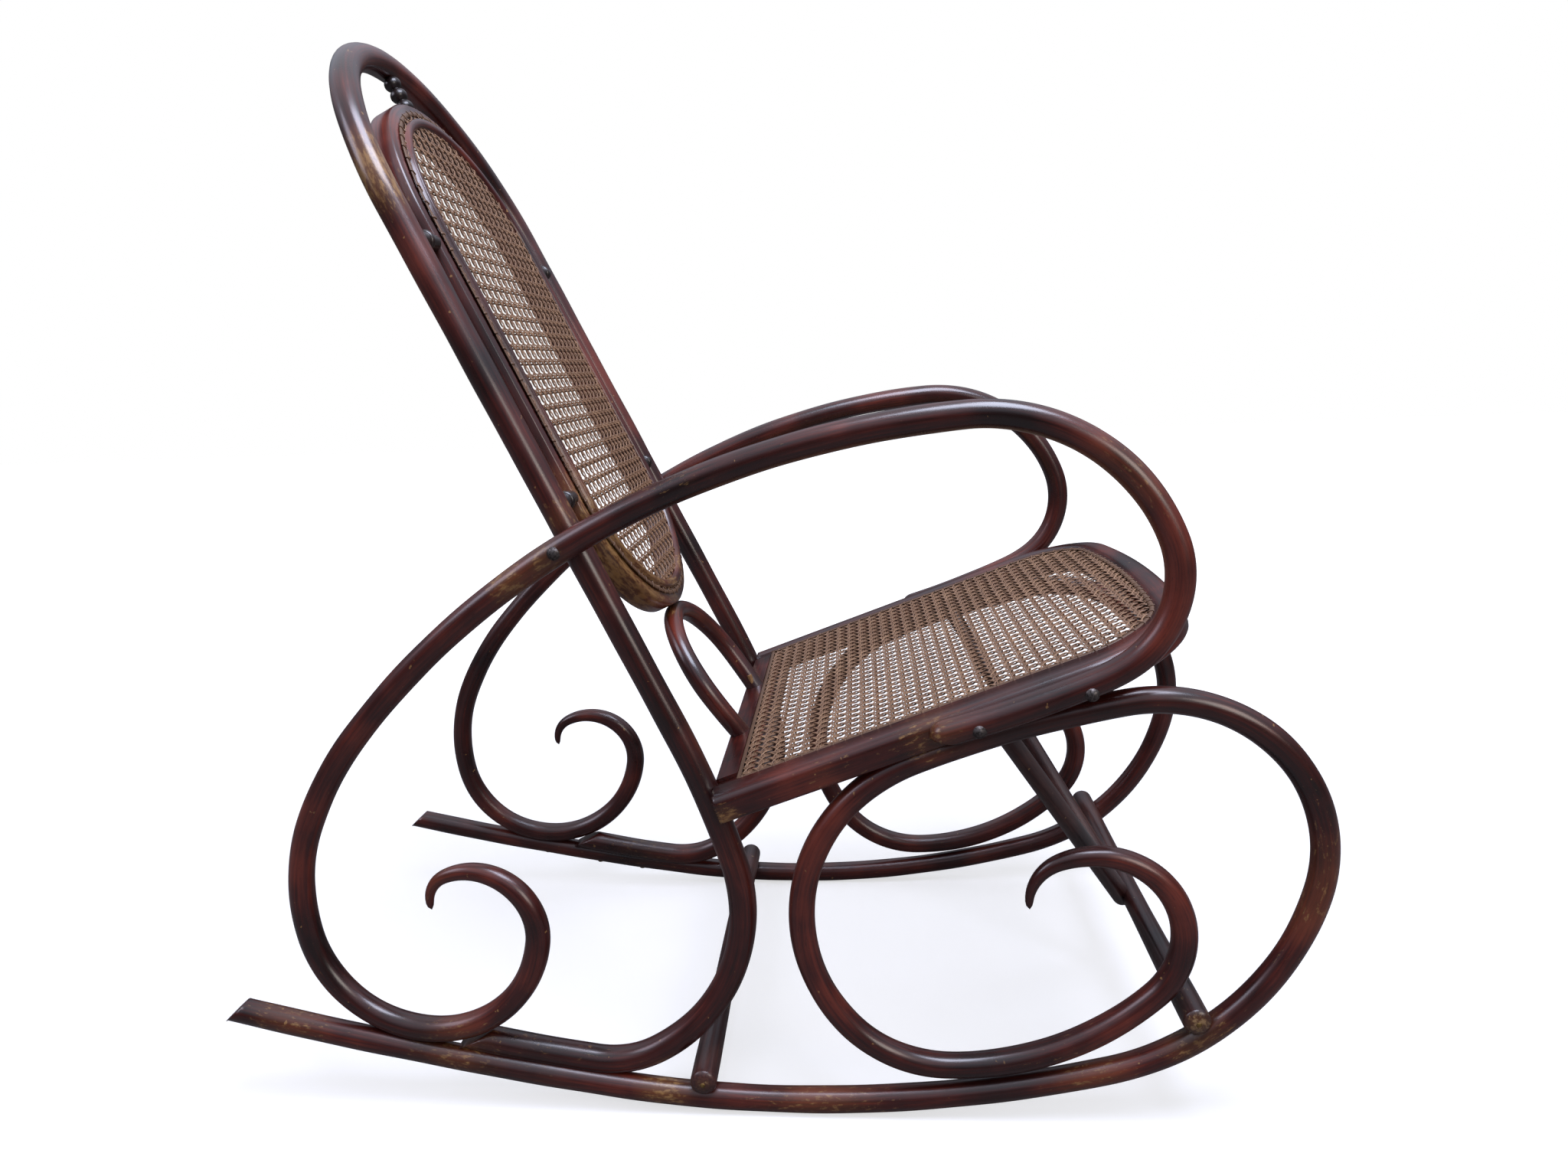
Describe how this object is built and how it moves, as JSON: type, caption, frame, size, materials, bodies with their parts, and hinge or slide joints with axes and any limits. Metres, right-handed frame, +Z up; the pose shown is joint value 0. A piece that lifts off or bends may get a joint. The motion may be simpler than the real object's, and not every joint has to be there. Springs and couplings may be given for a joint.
{
  "type": "bentwood rocking chair",
  "caption": "Bentwood rocking chair in dark red-brown beech with cane seat and back, curled arms and looped runners.",
  "frame": {"origin": "bottom centre of the chair's box, on the floor", "axes": "+Z up, the sitter looks along -Y, +X is the sitter's left"},
  "size_m": [0.545, 1.0661, 1.0419],
  "materials": {
    "stained_beech": "satin varnish",
    "dark_beech": "satin varnish",
    "ebonised_beech": "satin varnish",
    "plain_beech": "bare",
    "cane": "matt",
    "iron": "dull",
    "brass": "dull"
  },
  "bodies": {
    "root": {"arm_bolts": "iron", "arm_left": "stained_beech", "arm_right": "stained_beech", "back_binding": "cane", "back_cane": "cane", "back_hoop": "stained_beech", "back_rim": "stained_beech", "brace_foot_screws": "brass", "brace_left": "dark_beech", "brace_right": "dark_beech", "brace_top_screws": "brass", "crossing_bolts": "iron", "crown_spindle": "ebonised_beech", "curl_screws": "brass", "foot_screws": "brass", "front_stretcher": "dark_beech", "post_bolts": "iron", "rail_screws": "brass", "rear_stretcher": "dark_beech", "rim_spacer_lower_left": "stained_beech", "rim_spacer_lower_right": "stained_beech", "rim_spacer_upper_left": "stained_beech", "rim_spacer_upper_right": "stained_beech", "ring_dowels": "plain_beech", "ring_loop": "stained_beech", "runner_left": "stained_beech", "runner_right": "stained_beech", "saddle_screws": "brass", "seat_binding": "cane", "seat_cane": "cane", "seat_frame": "stained_beech", "seat_rear_rail": "stained_beech", "spacer_pins": "plain_beech", "stretcher_end_screws": "brass"}
  },
  "joints": []
}
